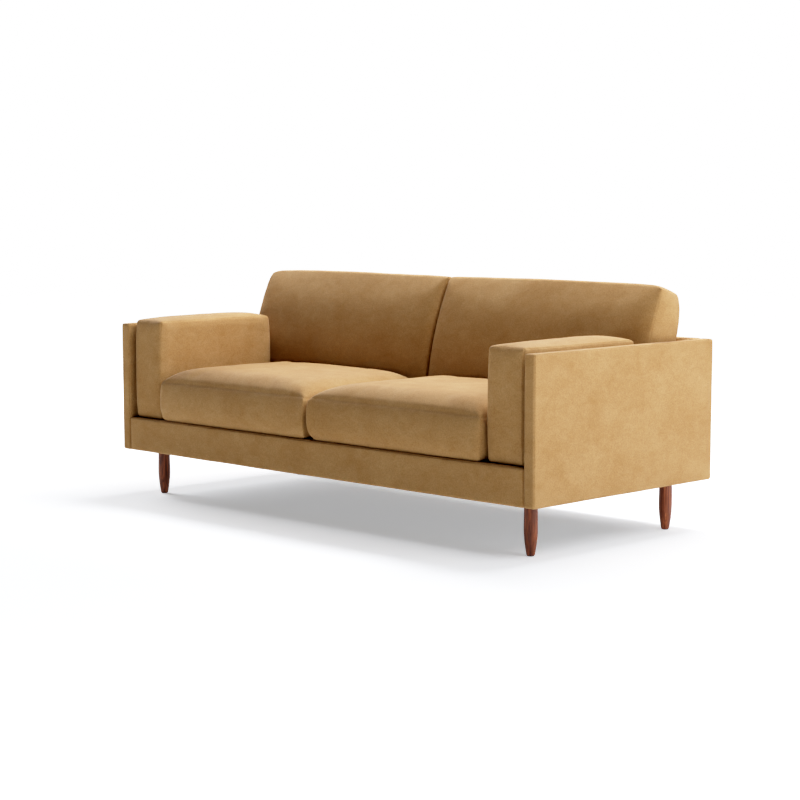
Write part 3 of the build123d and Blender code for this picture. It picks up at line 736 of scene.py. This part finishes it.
ROOM = {  # how far past its CAD box a right-hand cushion may swell: low and high, along x, y, z
    "arm_cushion": ((-0.001, -0.009, 0.0), (0.0, 0.004, 0.008)),
    "seat_cushion": ((-0.0004, -0.018, 0.0), (0.0002, 0.0, 0.010)),
    "back_cushion": ((-0.0004, -0.020, 0.0), (0.002, 0.012, 0.006)),
}


def cushion_frame(kind, node):
    """Half size and centre of the box that a cushion is wrapped from."""
    low, high = node_box(node)
    if kind == "back_cushion":
        half = np.array([(high[0] - low[0]) / 2 - CUSHION_INSET, *BACK_HALF_SECTION])
        return half, np.array([(low[0] + high[0]) / 2, 0, 0])
    low = low + np.array([CUSHION_INSET, CUSHION_INSET, 0])
    high = np.array([high[0] - CUSHION_INSET, high[1] - CUSHION_INSET, KINDS[kind]["top"]])
    return (high - low) / 2, (high + low) / 2


def room(kind, side, node):
    """The box that a cushion has to stay inside."""
    low, high = node_box(node)
    past_low, past_high = np.array(ROOM[kind][0]), np.array(ROOM[kind][1])
    if side == "left":
        past_low[0], past_high[0] = -past_high[0], -past_low[0]
    return low + past_low, high + past_high


def make_cushion(kind, side, seed):
    settings = KINDS[kind]
    node = f"{kind}_{side}_cover"
    half, centre = cushion_frame(kind, node)
    places, faces, ends = lattice(half, settings["radius"], settings["step"])
    obj = new_object(f"{kind}_{side}", settings["shape"](places, half, centre), faces)
    keep_flat_places(obj.data, places)
    seams = seam_lines(ends, settings["panels"])
    if kind == "seat_cushion":
        seams &= places[:, 2] < 0
    resting = places[:, 2] <= -half[2] + 1e-6
    inflate(obj, resting | seams, settings["pressure"], settings["cap"])
    if kind == "back_cushion":
        outward = places[:, 0] / half[0] * SIDES[side]
        soften(obj, ease(outward, 0.70, 0.95) * ~resting, times=9)
    sew(obj, seams, SOFT_SEAM_DEPTH if kind == "back_cushion" else SEAM_DEPTH)
    subdivide(obj)
    pucker(obj, half, settings["panels"], seed)
    points = np.clip(coordinates(obj.data), *room(kind, side, node))
    if kind == "back_cushion":
        points = hold_back(points)
    set_coordinates(obj.data, points)
    finish_piece(obj, f"{kind}_{side}", [node], velvet(f"velvet_{kind}_{side}", seed))


# ------------------------------------------------------------------ upholstered panels

PANEL_STEP = 0.030


def make_panel(name, node, radius, panel_axis, seed, swell=0.0015):
    """A padded panel: rounded edges, barely crowned faces, a seam round each large face."""
    low, high = node_box(node)
    half = (high - low) / 2
    places, faces, ends = lattice(half, radius, PANEL_STEP)
    points = rounded(places, half, radius)
    shares = places / half
    across = shares[:, panel_axis]
    along, up = np.delete(shares, panel_axis, axis=1).T
    lift = crown(along, 8) * crown(up, 8) * swell
    points[:, panel_axis] += np.sign(across) * lift * (abs(across) > 0.99)
    obj = new_object(name, points + (low + high) / 2, faces)
    keep_flat_places(obj.data, places)
    sew(obj, seam_lines(ends, panel_axis))
    subdivide(obj)
    points = coordinates(obj.data)
    places = flat_places(obj.data)
    ripple = waves(places, 9.0, seed) * 0.0007 + waves(places, 34.0, seed + 1) * 0.0002
    set_coordinates(obj.data, points + normals(obj.data) * ripple[:, None])
    finish_piece(obj, "frame", [node], velvet(f"velvet_{name}", seed))


INSIDE_BACK_SLICES = 70  # along X
INSIDE_BACK_THICKNESS = 0.006
INSIDE_BACK_BEND = 0.012


def inside_back_profile(low, high):
    """The shell's outline in the YZ plane: up the pitched face, back over the shelf, and round."""
    thickness, radius = INSIDE_BACK_THICKNESS, INSIDE_BACK_BEND
    run = SUPPORT_HEAD[0] - SUPPORT_FOOT[0]
    rise = SUPPORT_HEAD[1] - SUPPORT_FOOT[1]
    foot = np.array((low[1], low[2]))
    head = np.array((SUPPORT_HEAD[0], high[2]))
    lean = np.array((run, rise)) / math.hypot(run, rise)
    inward = np.array((lean[1], -lean[0]))
    outer = [foot + (head - foot) * t for t in np.linspace(0, 1, 16)[:-1]]
    outer[-1] = head - lean * radius * 1.2
    bend = [head - lean * radius * 0.4 + inward * 0.002, head + np.array((radius * 0.4, -0.0004))]
    shelf = [np.array((y, high[2])) for y in np.linspace(head[0] + radius * 1.2, high[1], 6)]
    corner = head + np.array((thickness * 0.8, -thickness))
    inner_ys = np.linspace(high[1], corner[0], 6)
    inner_shelf = [np.array((y, high[2] - thickness)) for y in inner_ys]
    inner = [p + inward * thickness for p in (outer[8], outer[0])]
    return np.array(outer + bend + shelf + inner_shelf + inner)


def make_inside_back():
    """The pitched inside back with its shelf: a thin padded shell, extruded along X."""
    low, high = node_box("inside_back_cover")
    profile = inside_back_profile(low, high)
    xs = np.linspace(low[0], high[0], INSIDE_BACK_SLICES)
    points = np.array([(x, y, z) for x in xs for y, z in profile])
    count = len(profile)
    faces = []
    for i in range(len(xs) - 1):
        for j in range(count):
            a, b = i * count + j, i * count + (j + 1) % count
            faces.append([a, a + count, b + count, b])
    faces.append(list(range(count)))
    faces.append(list(range((len(xs) - 1) * count, len(xs) * count))[::-1])
    obj = new_object("inside_back", points, faces)
    fix_normals(obj)
    inside = coordinates(obj.data)
    ripple = waves(inside, 7.0, 31) * 0.0012
    face_side = np.abs(normals(obj.data)[:, 0]) < 0.5
    free = (inside[:, 2] > low[2] + 0.002) & (inside[:, 1] < high[1] - 0.002) & face_side
    set_coordinates(obj.data, inside - normals(obj.data) * (np.abs(ripple) * free)[:, None])
    finish_piece(obj, "frame", ["inside_back_cover"], velvet("velvet_inside_back", 31))


def fix_normals(obj):
    shape = bmesh.new()
    shape.from_mesh(obj.data)
    bmesh.ops.recalc_face_normals(shape, faces=shape.faces[:])
    shape.to_mesh(obj.data)
    shape.free()


def make_cloth(name, node, material, seed, sag, step=0.025):
    """A stretched cloth: a thin closed sheet that dips a little between its fixings."""
    low, high = node_box(node)
    nx = round((high[0] - low[0]) / step)
    ny = round((high[1] - low[1]) / step)
    xs = np.linspace(low[0], high[0], nx + 1)
    ys = np.linspace(low[1], high[1], ny + 1)
    top = np.array([(x, y, high[2]) for x in xs for y in ys])
    bottom = top.copy()
    u = (top[:, 0] - low[0]) / (high[0] - low[0]) * 2 - 1
    v = (top[:, 1] - low[1]) / (high[1] - low[1]) * 2 - 1
    dip = crown(u, 8) * crown(v, 8) * sag * (0.5 + 0.5 * waves(top, 6.0, seed))
    top[:, 2] -= dip
    bottom[:, 2] = top[:, 2] - (high[2] - low[2])
    count = (nx + 1) * (ny + 1)
    faces = []
    for i in range(nx):
        for j in range(ny):
            a = i * (ny + 1) + j
            quad = [a, a + ny + 1, a + ny + 2, a + 1]
            faces.append(quad)
            faces.append([count + k for k in quad[::-1]])
    rim = [i * (ny + 1) for i in range(nx)] + [nx * (ny + 1) + j for j in range(ny)]
    rim += [i * (ny + 1) + ny for i in range(nx, 0, -1)] + list(range(ny, 0, -1))
    for a, b in zip(rim, rim[1:] + rim[:1]):
        faces.append([a, count + a, count + b, b])
    obj = new_object(name, np.vstack([top, bottom]), faces)
    fix_normals(obj)
    finish_piece(obj, "frame", [node], material)


# ------------------------------------------------------------------ the sofa

dress_cad_nodes()
for number, (kind, side) in enumerate((k, s) for k in KINDS for s in SIDES):
    make_cushion(kind, side, number + 1)
make_panel("side_panel_left", "left_side_cover", 0.009, 0, 11)
make_panel("side_panel_right", "right_side_cover", 0.009, 0, 13)
make_panel("back_panel", "back_cover", 0.009, 1, 17)
make_panel("rail_front", "front_rail_cover", 0.010, 1, 19, swell=0.001)
make_inside_back()
make_cloth("deck", "deck_cloth", MATERIALS["deck_fabric"], 23, sag=0.0007)
make_cloth("underside", "dust_cover", MATERIALS["dust_cloth"], 29, sag=-0.0007)

# ------------------------------------------------------------------ floor, light, camera

WHITE = 1.8  # the light that is shown as white
WORLD_LIGHT = 0.005
DAYLIGHT = (0.955, 0.985, 1.05)
FLOOR_REACH = 14.0
FLOOR_DROP = 0.0002  # under the glides, so that the faces don't coincide
FLOOR_GLOW = 0.426  # under the sofa
FLOOR_FADE = (1.5, 4.6)  # distances over which the floor turns white

SOFTBOXES = {  # place, aim, size, watts
    "overhead": ((0.0, 1.2, 3.2), (0.0, 0.3, 0.0), (3.6, 0.8), 205.0),
    "from_behind": ((0.0, 2.6, 3.2), (0.0, 0.0, 0.4), (3.0, 2.0), 89.0),
    "from_left": ((-4.5, 0.0, 2.4), (0.0, 0.0, 0.4), (2.4, 2.4), 215.0),
    "key_high": ((3.4, -0.2, 3.2), (0.0, 0.0, 0.4), (2.4, 2.4), 104.0),
    "key_low": ((5.0, 0.6, 1.2), (0.0, 0.0, 0.4), (2.4, 1.8), 60.0),
    "key_behind": ((3.4, 3.2, 2.8), (0.0, 0.0, 0.4), (2.4, 2.4), 42.0),
}

CAMERA_PLACE = (5.019, -5.050, 1.164)
CAMERA_TILT = 6.031  # degrees below level
CAMERA_TURN = 44.835  # degrees from looking along +Y
LENS = 86.95  # millimetres
SENSOR = 36.0

TONES = (  # light, and how bright it is shown
    (0.0, 0.0), (0.01, 0.0005), (0.02, 0.003), (0.04, 0.0136), (0.08, 0.0445), (0.15, 0.1083),
    (0.25, 0.2043), (0.4, 0.3477), (0.6, 0.524), (0.8, 0.6684), (1.0, 0.7748), (1.3, 0.885),
    (1.55, 0.955), (1.8, 1.0),
)


def make_floor():
    """A pale floor that turns evenly white away from the sofa."""
    signs = np.array([(-1, -1, 0), (1, -1, 0), (1, 1, 0), (-1, 1, 0)])
    corners = signs * FLOOR_REACH - np.array((0, 0, FLOOR_DROP))
    floor = new_object("floor", corners, [[0, 1, 2, 3]])
    shader = Shader(
        "studio_floor",
        roughness=0.9,
        Base_Color=(0.85, 0.85, 0.85, 1.0),
        Emission_Color=(1.0, 1.0, 1.0, 1.0),
    )
    away = shader.nodes.new("ShaderNodeVectorMath")
    away.operation = "LENGTH"
    shader.links.new(shader.coordinates, away.inputs[0])
    glow = shader.remap(away.outputs["Value"], FLOOR_GLOW, WHITE, *FLOOR_FADE)
    shader.use("Emission Strength", glow)
    floor.data.materials.append(shader.material)


def make_world():
    """White where it is seen, and only a little light from it."""
    world = bpy.data.worlds.new("studio")
    world.use_nodes = True
    nodes, links = world.node_tree.nodes, world.node_tree.links
    background = nodes["Background"]
    background.inputs["Color"].default_value = (1.0, 1.0, 1.0, 1.0)
    seen = nodes.new("ShaderNodeLightPath").outputs["Is Camera Ray"]
    strength = nodes.new("ShaderNodeMapRange")
    strength.inputs["To Min"].default_value = WORLD_LIGHT
    strength.inputs["To Max"].default_value = WHITE
    links.new(seen, strength.inputs["Value"])
    links.new(strength.outputs["Result"], background.inputs["Strength"])
    bpy.context.scene.world = world


def make_softbox(name, place, aim, size, watts):
    light = bpy.data.lights.new(name, "AREA")
    light.color = DAYLIGHT
    light.shape = "RECTANGLE"
    light.size, light.size_y = size
    light.energy = watts
    lamp = bpy.data.objects.new(name, light)
    bpy.context.scene.collection.objects.link(lamp)
    lamp.location = place
    lamp.rotation_euler = (Vector(aim) - Vector(place)).to_track_quat("-Z", "Y").to_euler()


def make_camera():
    camera = bpy.data.objects.new("camera", bpy.data.cameras.new("camera"))
    bpy.context.scene.collection.objects.link(camera)
    camera.data.sensor_width = SENSOR
    camera.data.lens = LENS
    camera.location = CAMERA_PLACE
    camera.rotation_euler = Euler((math.radians(90 - CAMERA_TILT), 0.0, math.radians(CAMERA_TURN)))
    bpy.context.scene.camera = camera


def set_tones():
    """A photographic tone curve: soft in the whites and a little deeper in the darks."""
    view = bpy.context.scene.view_settings
    view.view_transform = "Standard"
    view.use_curve_mapping = True
    mapping = view.curve_mapping
    mapping.white_level = (WHITE, WHITE, WHITE)
    curve = mapping.curves[3]
    for light, shown in TONES[1:-1]:
        curve.points.new(light / WHITE, shown)
    mapping.update()


make_floor()
make_world()
for name, (place, aim, size, watts) in SOFTBOXES.items():
    make_softbox(name, place, aim, size, watts)
set_tones()
make_camera()
